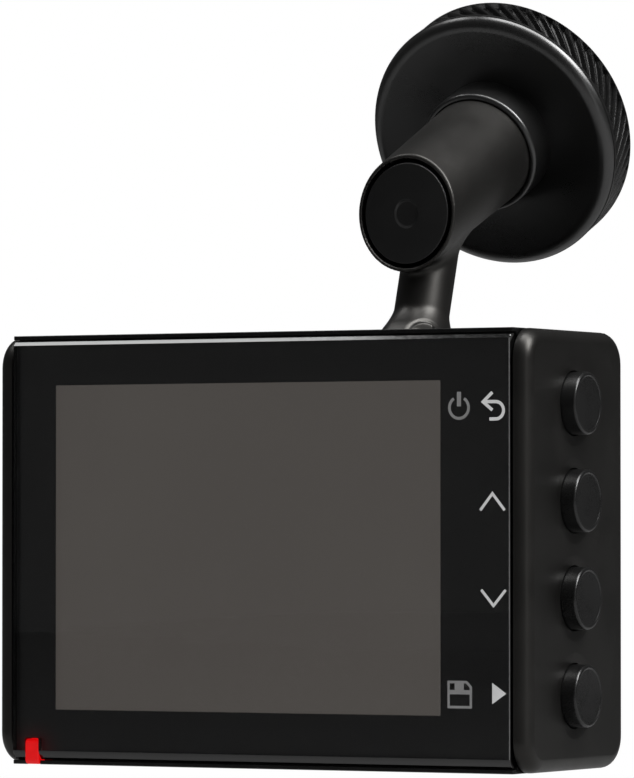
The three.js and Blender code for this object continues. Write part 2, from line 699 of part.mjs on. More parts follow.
// The disc that holds the arm: a shallow dish with a raised collar round the arm.
function mountDisc() {
  const { radius, rim, thickness } = DISC;
  const floor = 1.9;
  const collar = { bore: 5.5, radius: 5.85, height: 3.5, foot: 6.5 };
  const socket = { radius: TUBE.spigot + 0.15, floor: 1.2, step: 0.4 };
  const magnet = { inner: TUBE.spigot, outer: 9.4 };
  const nut = 2.35;
  const back = thickness - 0.1;
  const profile = [
    [SWIVEL.hole, socket.floor],
    [socket.radius, socket.floor],
    [socket.radius, socket.step],
    [collar.bore, socket.step],
    [collar.bore, -collar.height],
    [collar.radius - 0.1, -collar.height],
    [collar.radius, -collar.height + 0.1],
    [collar.foot, -0.5],
    [collar.foot + 1, -0.1],
    [radius - 2.5, rim + 0.3],
    [radius - 0.9, rim],
    [radius - 0.3, rim + 0.25],
    [radius, rim + 0.9],
    [radius, RING.start - 0.1],
    [RING_SEAT, RING.start - 0.1],
    [RING_SEAT, thickness],
    [magnet.outer, thickness],
    [magnet.outer, floor],
    [magnet.inner, floor],
    [magnet.inner, back],
    [nut, back],
    [nut, floor],
    [SWIVEL.hole, floor],
    [SWIVEL.hole, socket.floor],
  ];
  return turned("y", profile, {}, 36);
}

// The grip ring: slanted ridges round the disc's rim, drawn straight and then twisted.
function gripRing() {
  const { start, crest } = RING;
  const end = DISC.thickness - 0.05;
  const ridge = { count: 54, height: 0.45, slant: -3.7 };
  const corners = [[0, crest], [0.3, crest], [0.6, crest - ridge.height]];
  const points = Array.from({ length: ridge.count }, (_, i) =>
    corners.map(([share, radius]) => {
      const angle = ((i + share) / ridge.count) * 2 * Math.PI;
      return new THREE.Vector2(radius * Math.cos(angle), radius * Math.sin(angle));
    })).flat();
  const outline = new THREE.Shape(points);
  outline.holes.push(new THREE.Path().absarc(0, 0, RING_SEAT + 0.1, 0, 2 * Math.PI));
  const geometry = extruded(outline, "y", [start, end], { steps: 2, curveSegments: 36 });
  const position = geometry.getAttribute("position");
  const point = new THREE.Vector3();
  const axis = new THREE.Vector3(0, 1, 0);
  for (let i = 0; i < position.count; i += 1) {
    point.fromBufferAttribute(position, i);
    const share = (point.y - start) / (end - start);
    point.applyAxisAngle(axis, (share * ridge.slant) / crest);
    position.setXYZ(i, point.x, point.y, point.z);
  }
  return geometry;
}

// The screw that holds the arm in the disc, with its head inside the tube.
function swivelScrew() {
  const head = { start: -5.9, end: -4.6, radius: 2.4 };
  const shank = { end: 3.3, radius: SWIVEL.screw };
  const profile = [
    [0, head.start],
    [head.radius, head.start],
    [head.radius, head.end],
    [shank.radius, head.end],
    [shank.radius, shank.end],
    [0, shank.end],
  ];
  return turned("y", profile, {}, 24);
}

// The plug that closes the rear end of the tube.
const armPlug = () => uprightRod(TUBE.plug, 2.85);

function mountPieces() {
  const mount = new THREE.Group();
  mount.applyMatrix4(DISC_FRAME);
  const back = DISC.thickness;
  const { hole } = SWIVEL;
  mount.add(
    part("mount_disc", mountDisc(), "satin"),
    part("grip_ring", gripRing(), "satin"),
    part("disc_magnet", ring("y", [2, back - 0.15], 4.75, 9.25), "steel"),
    part("swivel_nut", ring("y", [2, back - 0.2], hole - GAP, 2.25, {}, 20), "brass"),
    part("swivel_screw", swivelScrew(), "steel"),
    part("spring_washer", ring("y", [-4.5, -4.05], hole, 2.8, {}, 24), "steel"),
    part("friction_washer", ring("y", [-3.95, -3.6], hole, 3.4, {}, 24), "brass"),
    part("steel_plate", rod("y", [back + 0.2, back + 1.2], 11.4, {}, 36), "steel"),
    part("adhesive_pad", rod("y", [back + 1.3, back + 2.3], 11.2, {}, 36), "soft"),
  );
  return [part("mount_arm", mountArm(), "satin"), part("arm_end_cap", armPlug(), "satin"), mount];
}

// ---- Assembly --------------------------------------------------------------------------------

const dashCamera = new THREE.Group();
dashCamera.add(
  ...casePieces(),
  ...buttonPieces(),
  ...electronics(),
  ...lensPieces(),
  ...tiltPieces(),
  ...mountPieces(),
);

export default dashCamera;
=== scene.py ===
"""Looks for a compact dash camera on its windshield mount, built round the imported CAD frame.

Shapes are made in millimetres in the frame's own axes, then scaled to metres: +X is the button side,
+Y looks out through the windshield, +Z is up, and the screen faces -Y.
"""

import itertools
import json
import math

import bmesh
import bpy
import numpy as np
from mathutils import Matrix, Vector


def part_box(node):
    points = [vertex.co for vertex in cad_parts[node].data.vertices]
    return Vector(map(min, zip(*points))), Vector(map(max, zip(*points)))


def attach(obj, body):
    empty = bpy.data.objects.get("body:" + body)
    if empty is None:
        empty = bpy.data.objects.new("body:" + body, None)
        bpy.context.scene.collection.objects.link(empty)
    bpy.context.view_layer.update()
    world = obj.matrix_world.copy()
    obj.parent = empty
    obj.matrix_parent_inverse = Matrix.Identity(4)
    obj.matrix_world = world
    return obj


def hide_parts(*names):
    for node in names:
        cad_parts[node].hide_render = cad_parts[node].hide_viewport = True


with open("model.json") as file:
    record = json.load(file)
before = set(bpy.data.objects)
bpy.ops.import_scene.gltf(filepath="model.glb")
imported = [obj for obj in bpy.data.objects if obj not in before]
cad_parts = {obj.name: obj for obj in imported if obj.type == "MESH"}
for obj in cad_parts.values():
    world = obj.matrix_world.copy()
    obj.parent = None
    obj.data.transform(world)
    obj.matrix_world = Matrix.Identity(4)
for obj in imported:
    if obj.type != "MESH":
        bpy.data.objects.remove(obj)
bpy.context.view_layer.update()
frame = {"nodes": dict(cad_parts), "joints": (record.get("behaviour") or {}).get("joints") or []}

MM = 0.001
ORIGIN = Matrix()


# ---- Places read from the frame --------------------------------------------------


def box_of(node):
    """Lowest and highest corner of a CAD node, in millimetres."""
    low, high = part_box(node)
    return low / MM, high / MM


def centre_of(node):
    low, high = box_of(node)
    return (low + high) / 2


def joint(name):
    return next(j for j in frame["joints"] if j["name"] == name)


SHELL_LOW, SHELL_HIGH = box_of("main_shell")
REAR, FRONT = SHELL_LOW.y, SHELL_HIGH.y
TOP = SHELL_HIGH.z
SHELL_HALF = SHELL_HIGH.x
SIDE = box_of("right_end_cap")[1].x
WINDOW_LOW, WINDOW_HIGH = box_of("rear_window")
SCREEN = centre_of("display_panel")
LENS = centre_of("front_lens")
LIGHT_LOW, LIGHT_HIGH = box_of("record_light_pipe")
LIGHT = (LIGHT_LOW + LIGHT_HIGH) / 2
LIGHT_HALF = (LIGHT_HIGH.x - LIGHT_LOW.x) / 2
PIVOT = Vector(joint("camera_tilt")["pos_m"]) / MM
DISC_CENTRE = Vector(joint("arm_swivel")["pos_m"]) / MM
DISC_AXIS = Vector(joint("arm_swivel")["axis"]).normalized()
DISC_TURN = Vector((0, 1, 0)).rotation_difference(DISC_AXIS).to_matrix()
DISC_PLACE = Matrix.Translation(DISC_CENTRE) @ DISC_TURN.to_4x4()
BUTTONS = ["button_back", "button_up", "button_down", "button_play"]

WALL = 1.4  # case wall
SHELL_ROUND = 0.9  # side outline's corner radius, on the shell
CAP_ROUND = 3.0  # and on the end caps
CAP_EDGE = 1.3  # rounding of an end cap's outer edge
BUTTON_RADIUS = 2.9
# The arm. Its sizes are radii, but for lengths, the stem's lean and the drum's half width.
# The stem's root is a little back from the tilt axis; the drum is the foot, which turns on the pin.
TUBE = {"rear": 5.03, "front": 5.375, "length": 19.7, "spigot": 4.6}
BORE = {"seat": 4.7, "chamber": 3.9, "screw": 1.4}
STEM = {"radius": 2.6, "lean": math.radians(17.9), "length": 16, "back": 0.3}
DRUM = {"radius": 5.0, "half": 2.75, "round": 2.2, "core": 2.2, "pin": 1.06}
# The disc: rim, back and hollow (the floor of the magnet's hollow) are distances along its axis.
DISC = {"radius": 12.57, "rim": -0.9, "back": 4.1, "ring_seat": 11.2, "hollow": 1.9}
FOOT_GAP = 0.3  # between the arm's foot and its opening in the shell


# ---- Shape helpers ---------------------------------------------------------------


def soften(points, closed=False, steps=6):
    """Turns each corner (a, b, radius) into an arc. A corner without a radius stays sharp."""
    result = []
    count = len(points)
    for i, point in enumerate(points):
        here = Vector(point[:2])
        radius = point[2] if len(point) > 2 else 0
        if not radius or (not closed and i in (0, count - 1)):
            result.append(here)
            continue
        before = (Vector(points[i - 1][:2]) - here).normalized()
        after = (Vector(points[(i + 1) % count][:2]) - here).normalized()
        half = before.angle(after) / 2
        centre = here + (before + after).normalized() * radius / math.sin(half)
        start = here + before * radius / math.tan(half) - centre
        end = here + after * radius / math.tan(half) - centre
        sweep = math.atan2(start.cross(end), start.dot(end))
        for k in range(steps + 1):
            angle = sweep * k / steps
            cosine, sine = math.cos(angle), math.sin(angle)
            turned = Vector((start.x * cosine - start.y * sine, start.x * sine + start.y * cosine))
            result.append(centre + turned)
    return result


def rectangle(a_span, b_span, radii, steps=6):
    """A closed outline between two spans. radii: one for all corners, or low-a and high-a radii."""
    low, high = radii if isinstance(radii, tuple) else (radii, radii)
    (a0, a1), (b0, b1) = a_span, b_span
    return soften([(a0, b0, low), (a1, b0, high), (a1, b1, high), (a0, b1, low)], True, steps)


def about(centre, half):
    return centre - half, centre + half


def shrink(outline, inset):
    """Moves a closed outline inwards, or outwards if the inset is negative."""
    moved = []
    count = len(outline)
    for i, point in enumerate(outline):
        before = (point - outline[i - 1]).normalized()
        after = (outline[(i + 1) % count] - point).normalized()
        inward = Vector((-before.y - after.y, before.x + after.x)).normalized()
        moved.append(point + inward * inset / max(math.cos(before.angle(after) / 2), 0.3))
    return moved


def loft(rings, caps=True):
    """A skin over closed rings of points."""
    bm = bmesh.new()
    rows = [[bm.verts.new(point) for point in ring] for ring in rings]
    for low, high in zip(rows, rows[1:]):
        for i, vertex in enumerate(low):
            bm.faces.new((low[i - 1], vertex, high[i], high[i - 1]))
    if caps:
        bm.faces.new(rows[0])
        bm.faces.new(rows[-1])
    return tidy(bm)


def tidy(bm):
    bmesh.ops.remove_doubles(bm, verts=bm.verts, dist=1e-4)
    bmesh.ops.recalc_face_normals(bm, faces=bm.faces)
    return bm


TO_FRAME = {
    "x": lambda a, b, along: Vector((along, a, b)),
    "y": lambda a, b, along: Vector((a, along, b)),
    "z": lambda a, b, along: Vector((a, b, along)),
}


def prism(outline, axis, start, end, rounds=(0, 0), steps=6):
    """An outline drawn out along an axis, with the edge at each end rounded."""
    stations = []
    for radius, face, inward in ((rounds[0], start, 1), (rounds[1], end, -1)):
        turns = [0.5 * math.pi * k / steps for k in range(steps + 1)] if radius else [math.pi / 2]
        rows = [(radius * (1 - math.sin(t)), face + inward * radius * (1 - math.cos(t))) for t in turns]
        stations += rows if inward > 0 else rows[::-1]
    to_frame = TO_FRAME[axis]
    rings = [[to_frame(a, b, along) for a, b in shrink(outline, inset)] for inset, along in stations]
    return loft(rings)


def lathe(profile, place=ORIGIN, closed=False, segments=96, steps=6):
    """A profile of (radius, distance along, rounding) turned about the local +Y axis."""
    outline = soften(profile, closed, steps)
    if closed:
        outline.append(outline[0])
    turns = [2 * math.pi * i / segments for i in range(segments)]
    rings = [
        [place @ Vector((radius * math.sin(t), along, radius * math.cos(t))) for t in turns]
        for radius, along in outline
    ]
    return loft(rings, caps=False)


def along_x(centre):
    """The place of a lathe whose axis runs along +X through a point."""
    return Matrix.Translation((0, centre.y, centre.z)) @ Matrix.Rotation(-math.pi / 2, 4, "Z")


def along_y(x, z):
    return Matrix.Translation((x, 0, z))


def new_object(name, bm):
    """Turns a shape into an object of the scene. The shape is used up."""
    mesh = bpy.data.meshes.new(name)
    bm.to_mesh(mesh)
    bm.free()
    made = bpy.data.objects.new(name, mesh)
    bpy.context.scene.collection.objects.link(made)
    return made


def to_metres(bm):
    bmesh.ops.scale(bm, vec=Vector((MM, MM, MM)), verts=bm.verts)


def combine(body, tools, operation="DIFFERENCE"):
    """Cuts the tools out of a body, or joins them to it."""
    target = new_object("work", tidy(body))
    others = [new_object("work", tidy(tool)) for tool in tools]
    for other in others:
        modifier = target.modifiers.new("combine", "BOOLEAN")
        modifier.object = other
        modifier.operation = operation
        modifier.solver = "EXACT"
    graph = bpy.context.evaluated_depsgraph_get()
    mesh = bpy.data.meshes.new_from_object(target.evaluated_get(graph))
    result = bmesh.new()
    result.from_mesh(mesh)
    for used in [target, *others]:
        data = used.data
        bpy.data.objects.remove(used)
        bpy.data.meshes.remove(data)
    return result


def surface_net(distance, low, high, step):
    """The surface where distance(points) is zero, as a mesh of quads laid on that surface."""
    axes = [np.arange(a - 2 * step, b + 3 * step, step) for a, b in zip(low, high)]
    grid = np.stack(np.meshgrid(*axes, indexing="ij"), -1)
    inside = distance(grid.reshape(-1, 3)).reshape(grid.shape[:3]) < 0
    lower, upper = slice(None, -1), slice(1, None)
    corners = itertools.product((lower, upper), repeat=3)
    filled = sum(inside[corner].astype(int) for corner in corners)
    crossed = (filled > 0) & (filled < 8)
    number = np.full(crossed.shape, -1)
    number[crossed] = np.arange(crossed.sum())
    points = grid[:-1, :-1, :-1][crossed] + step / 2
    for _ in range(6):
        points = points - settle(distance, points, step)
    faces = []
    for axis in range(3):
        side, cell = np.moveaxis(inside, axis, 0), np.moveaxis(number, axis, 0)
        i, j, k = np.nonzero(side[:-1, 1:-1, 1:-1] != side[1:, 1:-1, 1:-1])
        around = [cell[i, j, k], cell[i, j + 1, k], cell[i, j + 1, k + 1], cell[i, j, k + 1]]
        faces.append(np.stack(around, 1))
    mesh = bpy.data.meshes.new("work")
    mesh.from_pydata(points.tolist(), [], np.concatenate(faces).tolist())
    bm = bmesh.new()
    bm.from_mesh(mesh)
    bpy.data.meshes.remove(mesh)
    return tidy(bm)


def settle(distance, points, step):
    """The move that brings points onto the surface, along its slope."""
    small = step * 0.05
    rises = [distance(points + small * e) - distance(points - small * e) for e in np.eye(3)]
    slope = np.stack(rises, 1) / (2 * small)
    length = np.maximum((slope**2).sum(1), 0.2)
    move = slope * (distance(points) / length)[:, None]
    reach = np.maximum(np.linalg.norm(move, axis=1), 1e-9)
    return move * np.minimum(1, 0.5 * step / reach)[:, None]


def edge_bevel(made, width, segments, angle, **settings):
    """Softens the edges that are sharper than an angle."""
    modifier = made.modifiers.new("edges", "BEVEL")
    modifier.width = width * MM
    modifier.segments = segments
    modifier.limit_method = "ANGLE"
    modifier.angle_limit = math.radians(angle)
    for key, value in settings.items():
        setattr(modifier, key, value)


def piece(name, bm, body, look, stands_for=(), bevel=0, sharp=35):
    """Makes a finished piece of a shape in millimetres, and has it ride on a CAD body."""
    to_metres(tidy(bm))
    made = new_object(name, bm)
    made.data.shade_smooth()
    made.data.set_sharp_from_angle(angle=math.radians(sharp))
    made.data.materials.append(LOOKS[look])
    if bevel:
        edge_bevel(made, bevel, segments=3, angle=40, harden_normals=True)
    weighted = made.modifiers.new("normals", "WEIGHTED_NORMAL")
    weighted.keep_sharp = True
    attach(made, body)
    if stands_for:
        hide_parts(*stands_for)
    return made


# ---- Material helpers ------------------------------------------------------------


def feed(tree, target, inputs):
    """Fills a node's inputs, each with a value or with another node's output."""
    for key, value in inputs.items():
        if isinstance(value, bpy.types.NodeSocket):
            tree.links.new(value, target.inputs[key])
        else:
            target.inputs[key].default_value = value


def node(tree, kind, inputs=None, **settings):
    """Adds a shader node."""
    made = tree.nodes.new(kind)
    for key, value in settings.items():
        setattr(made, key, value)
    feed(tree, made, inputs or {})
    return made


def blank(name, **inputs):
    """A material with one main shader: (material, node tree, shader)."""
    made = bpy.data.materials.new(name)
    made.use_nodes = True
    tree = made.node_tree
    tree.nodes.clear()
    shader = node(tree, "ShaderNodeBsdfPrincipled", inputs)
    node(tree, "ShaderNodeOutputMaterial", {"Surface": shader.outputs[0]})
    return made, tree, shader


def place_of(tree):
    return node(tree, "ShaderNodeTexCoord").outputs["Object"]


def noise(tree, size, detail=2, where=None):
    """The value of a noise whose features are about size millimetres across."""
    inputs = {"Vector": where or place_of(tree), "Scale": 1 / (size * MM), "Detail": detail}
    return node(tree, "ShaderNodeTexNoise", inputs).outputs["Fac"]


def stretched(tree, scale):
    """Places drawn out along one axis or another."""
    return node(tree, "ShaderNodeMapping", {"Vector": place_of(tree), "Scale": scale}).outputs[0]


def remap(tree, value, low, high, start=0.35, end=0.65):
    """Spreads start to end over low to high. Most of a noise is within 0.35 to 0.65."""
    settings = {"Value": value, "From Min": start, "From Max": end, "To Min": low, "To Max": high}
    return node(tree, "ShaderNodeMapRange", settings).outputs[0]


def mix(tree, factor, first, second):
    """A colour between two others."""
    made = node(tree, "ShaderNodeMix", data_type="RGBA")
    feed(tree, made, {0: factor, 6: first, 7: second})
    return made.outputs[2]


def math_node(tree, operation, *values):
    return node(tree, "ShaderNodeMath", dict(enumerate(values)), operation=operation).outputs[0]


def bump(tree, height, depth, strength=1.0, below=None):
    """A bump depth millimetres deep."""
    inputs = {"Height": height, "Distance": depth * MM, "Strength": strength}
    if below:
        inputs["Normal"] = below
    return node(tree, "ShaderNodeBump", inputs).outputs[0]


def shade(level, tint=(1, 1, 1)):
    """The colour (red, green, blue, alpha) of a tint at a level of brightness."""
    return (*(level * t for t in tint), 1)


def shader_of(made):
    return next(n for n in made.node_tree.nodes if n.type == "BSDF_PRINCIPLED")


WARM = (1.03, 1.0, 0.95)


def moulded(name, grey, roughness, grain=0.004, grain_size=0.09, tint=(1, 1, 1), wear=0.5):
    """Moulded plastic: a fine grain, patches rubbed smoother, and a few faint pale scuffs."""
    made, tree, shader = blank(name)
    fine = noise(tree, grain_size, 3)
    broad = noise(tree, 6, 4)
    scuff = remap(tree, noise(tree, 1.1, 5, stretched(tree, (1, 1, 7))), 0, wear, 0.62, 0.72)
    patches = mix(tree, remap(tree, broad, 0, 1), shade(grey * 0.88, tint), shade(grey * 1.12, tint))
    colour = mix(tree, scuff, patches, shade(grey * 1.5, tint))
    rough = remap(tree, broad, roughness * 0.92, min(roughness * 1.1, 1))
    uneven = math_node(tree, "ADD", rough, remap(tree, fine, -0.03, 0.03))
    rubbed = math_node(tree, "MULTIPLY_ADD", scuff, 0.06, uneven)
    surface = {"Base Color": colour, "Roughness": rubbed, "Normal": bump(tree, fine, grain, 0.6)}
    feed(tree, shader, surface | {"Specular Tint": shade(1, tint)})
    return made


def metal(name, colour, roughness):
    """Plain metal with fine scratches along one axis, and faint stains."""
    made, tree, shader = blank(name, Metallic=1.0)
    lines = noise(tree, 0.6, 6, stretched(tree, (1, 1, 12)))
    stain = remap(tree, noise(tree, 3, 5), 0, 1)
    stained = mix(tree, stain, shade(0.7, colour), shade(1, colour))
    rough = remap(tree, lines, roughness * 0.7, roughness * 1.4)
    scratches = bump(tree, lines, 0.004, 0.48)
    feed(tree, shader, {"Base Color": stained, "Roughness": rough, "Normal": scratches})
    return made


def board(name):
    """Solder mask over fine copper tracks, with plated holes."""
    made, tree, shader = blank(name, Roughness=0.35)
    upright = {"Vector": place_of(tree), "Rotation": (math.pi / 2, 0, 0)}
    turned = node(tree, "ShaderNodeMapping", upright).outputs[0]
    grid = {"Vector": turned, "Scale": 260, "Mortar Size": 0.03}
    grid |= {"Color1": shade(0), "Color2": shade(0), "Mortar": shade(1)}
    tracks = node(tree, "ShaderNodeTexBrick", grid).outputs["Color"]
    holes = node(tree, "ShaderNodeTexVoronoi", {"Vector": turned, "Scale": 420}).outputs["Distance"]
    plated = remap(tree, holes, 1, 0, 0.1, 0.14)
    mask = mix(tree, tracks, (0.006, 0.05, 0.018, 1), (0.016, 0.11, 0.04, 1))
    colour = mix(tree, plated, mask, (0.6, 0.5, 0.3, 1))
    raised = bump(tree, tracks, 0.03, 0.5)
    feed(tree, shader, {"Base Color": colour, "Metallic": plated, "Normal": raised})
    return made


def glass(name, tint, roughness=0.0, coat=(1, 1, 1)):
    """Clear glass or plastic with faint smears on its surface."""
    made, tree, shader = blank(name)
    smear = remap(tree, noise(tree, 5, 6), roughness, roughness + 0.02, 0.45, 0.75)
    wavy = bump(tree, noise(tree, 9, 1), 0.002, 0.3)
    feed(tree, shader, {"Base Color": shade(1, tint), "Roughness": smear, "Normal": wavy})
    feed(tree, shader, {"Specular Tint": shade(1, coat), "Transmission Weight": 1.0, "IOR": 1.5})
    return made


def glowing(name, colour, size=1.5):
    """Printed or lit plastic that gives an even light of its own; on the printed symbols this light is
    a painted glow.
    """
    made, tree, shader = blank(name, Roughness=0.4)
    strength = remap(tree, noise(tree, size, 3), 0.95, 1.05)
    feed(tree, shader, {"Emission Color": shade(1, colour), "Emission Strength": strength})
    grain = bump(tree, noise(tree, 0.1), 0.002, 0.4)
    feed(tree, shader, {"Base Color": shade(0.3, colour), "Normal": grain})
    return made


def screen_painted_glow(name):
    """An unlit liquid crystal display: an even grey, painted as a glow, with its grid of picture dots.
    """
    made, tree, shader = blank(name, Roughness=0.35)
    dots = node(tree, "ShaderNodeTexChecker", {"Vector": place_of(tree), "Scale": 7850}).outputs["Fac"]
    cloud = remap(tree, noise(tree, 18), 0, 1)
    grey = mix(tree, cloud, (0.0645, 0.058, 0.053, 1), (0.0675, 0.061, 0.0555, 1))
    grey = mix(tree, remap(tree, dots, 0, 0.1, 0, 1), grey, (0.05, 0.045, 0.041, 1))
    # The grey is a painted glow: the unlit panel gives light of its own.
    feed(tree, shader, {"Emission Color": grey, "Emission Strength": 1.0})
    feed(tree, shader, {"Base Color": shade(0.004), "Normal": bump(tree, dots, 0.002, 0.2)})
    return made


def foil(name, colour):
    """A thin metal wrap with soft creases."""
    made, tree, shader = blank(name, Metallic=0.8, Roughness=0.38)
    cells = {"Vector": place_of(tree), "Scale": 260}
    crease = node(tree, "ShaderNodeTexVoronoi", cells, feature="DISTANCE_TO_EDGE")
    soft = noise(tree, 1.5, 5)
    cloudy = mix(tree, remap(tree, soft, 0, 1), shade(0.8, colour), shade(1, colour))
    low = bump(tree, soft, 0.06, 0.4)
    creased = bump(tree, crease.outputs["Distance"], 0.03, 0.3, low)
    feed(tree, shader, {"Base Color": cloudy, "Normal": creased})
    return made


def film(name):
    """Amber polyimide film over a row of copper tracks."""
    made, tree, shader = blank(name, Roughness=0.3)
    bands = {"Vector": place_of(tree), "Scale": 420.0}
    lines = node(tree, "ShaderNodeTexWave", bands, bands_direction="X").outputs["Fac"]
    colour = mix(tree, remap(tree, lines, 0, 1), (0.22, 0.09, 0.015, 1), (0.42, 0.2, 0.05, 1))
    feed(tree, shader, {"Base Color": colour, "Normal": bump(tree, lines, 0.02, 0.4)})
    return made


def foam(name, grey):
    """Closed-cell foam tape: small open pores on a matt face, the pores painted darker as shade."""
    made, tree, shader = blank(name, Roughness=0.9)
    cells = {"Vector": place_of(tree), "Scale": 3600}
    pores = node(tree, "ShaderNodeTexVoronoi", cells).outputs["Distance"]
    # Painted shade: the pores are darker than the face round them.
    shaded_pores = mix(tree, remap(tree, pores, 0, 1, 0.1, 0.5), shade(grey * 0.5), shade(grey * 1.3))
    low = bump(tree, noise(tree, 1.2, 4), 0.05, 0.5)
    feed(tree, shader, {"Base Color": shaded_pores, "Normal": bump(tree, pores, 0.05, 0.8, low)})
    return made


def glossier(made, level):
    """Makes a material mirror its surroundings more or less than plain plastic, whose level is 0.5."""
    feed(made.node_tree, shader_of(made), {"Specular IOR Level": level})
    return made


def black_print_painted_glow():
    """The black print behind the glass, with a painted red glow round the record light."""
    made = moulded("black_print_painted_glow", 0.0015, 0.5, grain=0.001, wear=0.0)
    tree, shader = made.node_tree, shader_of(made)
    # A painted red glow on the print, fading away from the record light.
    source = Vector((LIGHT.x, WINDOW_HIGH.y, 1.2)) * MM
    ends = {0: place_of(tree), 1: source}
    away = node(tree, "ShaderNodeVectorMath", ends, operation="DISTANCE").outputs["Value"]
    near = remap(tree, away, 0.12, 0, 1.2 * MM, 3.2 * MM)
    glow = math_node(tree, "POWER", near, 2.0)
    feed(tree, shader, {"Emission Color": (1, 0.01, 0.02, 1), "Emission Strength": glow})
    return made


LOOKS = {
    "shell": moulded("gloss_black_plastic", 0.0045, 0.16, grain=0.0015, grain_size=0.5, wear=0.3),
    "cap": glossier(moulded("satin_black_plastic", 0.0045, 0.38, tint=WARM), 0.42),
    "button": moulded("button_plastic", 0.0065, 0.29, grain=0.003),
    "arm": moulded("arm_plastic", 0.0055, 0.39, grain=0.005, grain_size=0.11, tint=WARM),
    "plug": moulded("plug_plastic", 0.0065, 0.36, grain=0.003),
    "disc": glossier(moulded("disc_plastic", 0.003, 0.31, grain=0.003), 1.0),
    "knurl": glossier(moulded("knurled_plastic", 0.004, 0.25, grain=0.002, wear=0.7), 0.8),
    "lens_body": moulded("lens_barrel_plastic", 0.011, 0.42, grain=0.004),
    "inner": moulded("matt_inner_plastic", 0.006, 0.75, grain=0.008),
    "socket": moulded("socket_plastic", 0.012, 0.55),
    "card": moulded("card_plastic", 0.014, 0.4),
    "chip": moulded("component_plastic", 0.015, 0.55, grain=0.01, grain_size=0.05),
    "print": black_print_painted_glow(),
    "glass_edge": glossier(
        moulded("blackened_glass_edge", 0.004, 0.1, grain=0.0005, grain_size=0.3, wear=0), 0.8
    ),
    "rubber": moulded("soft_black_foam", 0.01, 0.85, grain=0.02, grain_size=0.2),
    "window": glass("window_glass", (1, 1, 1)),
    "lens": glass("coated_lens_glass", (0.82, 0.86, 0.98), coat=(0.35, 0.5, 1.0)),
    "lamp": glass("lamp_resin", (0.9, 0.9, 0.85), 0.05),
    "screen": screen_painted_glow("display_painted_glow"),
    # The symbols' print is given a painted glow.
    "bright_icon_painted_glow": glowing("bright_print_painted_glow", (0.46, 0.46, 0.46)),
    "dim_icon_painted_glow": glowing("dim_print_painted_glow", (0.155, 0.155, 0.155)),
    "red": glowing("lit_red_plastic", (0.58, 0.002, 0.003), 0.8),
    "board": board("circuit_board"),
    "tin": metal("plated_tin", (0.62, 0.63, 0.64), 0.32),
    "steel": metal("bright_steel", (0.52, 0.53, 0.54), 0.3),
    "brass": metal("brass", (0.62, 0.45, 0.18), 0.3),
    "wrap": foil("battery_wrap", (0.62, 0.64, 0.66)),
    "film": film("amber_film"),
    "foam": foam("adhesive_foam", 0.03),
}


# ---- Case ------------------------------------------------------------------------


def shell_outline():
    """The shell's section across the camera: a C that is open to the rear, where the window goes."""
    rim = WINDOW_LOW.z - 0.1  # thickness of the rim above and below the window
    tip = REAR + 0.17
    ledge = WINDOW_HIGH.y + 0.3
    inner, inner_round = FRONT - WALL, 1.2
    lower = [(ledge, WALL), (ledge, rim), (tip, rim), (tip, 0, 0.1), (FRONT, 0, SHELL_ROUND)]
    upper = [(a, TOP - b, *r) for a, b, *r in reversed(lower)]
    front = [(inner, TOP - WALL, inner_round), (inner, WALL, inner_round)]
    return soften([*lower, *upper, *front], True, 10)


def foot_opening():
    """Room for the arm's foot to turn in, and for the stem to swing forward."""
    radius, half, corner = DRUM["radius"] + FOOT_GAP, DRUM["half"] + FOOT_GAP, 1.2
    x = PIVOT.x
    profile = [(0, x - half), (radius, x - half, corner), (radius, x + half, corner), (0, x + half)]
    barrel = lathe(profile, along_x(PIVOT))
    outline = rectangle(about(x, half), (PIVOT.y, PIVOT.y + DRUM["radius"] - FOOT_GAP), 0.6)
    swing = prism(outline, "z", TOP - WALL - 1, TOP + 1)
    return combine(barrel, [swing], "UNION")


def front_hole(centre, radius, segments):
    """A drill that goes through the shell's front wall."""
    back, front = FRONT - WALL - 1, FRONT + 1
    profile = [(0, back), (radius, back), (radius, front), (0, front)]
    return lathe(profile, along_y(centre.x, centre.z), segments=segments)


def speaker_slots():
    centre = centre_of("speaker")
    length, width, pitch, corner = 8, 1, 2, 0.48
    slots = []
    for i in range(-2, 3):
        slot = rectangle(about(centre.x, length / 2), about(centre.z + pitch * i, width / 2), corner)
        slots.append(prism(slot, "y", FRONT - WALL - 1, FRONT + 1))
    return slots


def case_shell():
    """The wrap-round case: top, front and bottom in one, with its openings."""
    body = prism(shell_outline(), "x", -SHELL_HALF, SHELL_HALF)
    openings = [foot_opening(), front_hole(LENS, 9.2, 96), *speaker_slots()]
    openings.append(front_hole(centre_of("microphone"), 0.6, 32))
    notch = rectangle(about(LIGHT.x, LIGHT_HALF + 0.06), (-1, WALL + 0.5), 0.1)
    openings.append(prism(notch, "y", REAR - 1, WINDOW_HIGH.y + 0.3))
    shape = combine(body, openings)
    piece("case_shell", shape, "camera", "shell", ["main_shell"], bevel=0.09)


def end_cap(side):
    """The plate and lip of an end cap, without its openings. side is 1 or -1."""
    inner = SHELL_HALF + 0.1
    outline = rectangle((REAR, FRONT), (0, TOP), CAP_ROUND, 10)
    plate = prism(outline, "x", inner, SIDE, (0.08, CAP_EDGE), 10)
    edge = WALL + 0.15
    lip_outline = rectangle((-8.7, FRONT - edge), (edge, TOP - edge), (0.4, 1))
    hollow = prism(shrink(lip_outline, 1), "x", inner - 2, inner)
    lip = combine(prism(lip_outline, "x", inner - 1.4, inner + 0.3), [hollow])
    cap = combine(plate, [lip], "UNION")
    if side < 0:
        bmesh.ops.scale(cap, vec=Vector((-1, 1, 1)), verts=cap.verts)
        bmesh.ops.reverse_faces(cap, faces=cap.faces)
    return cap


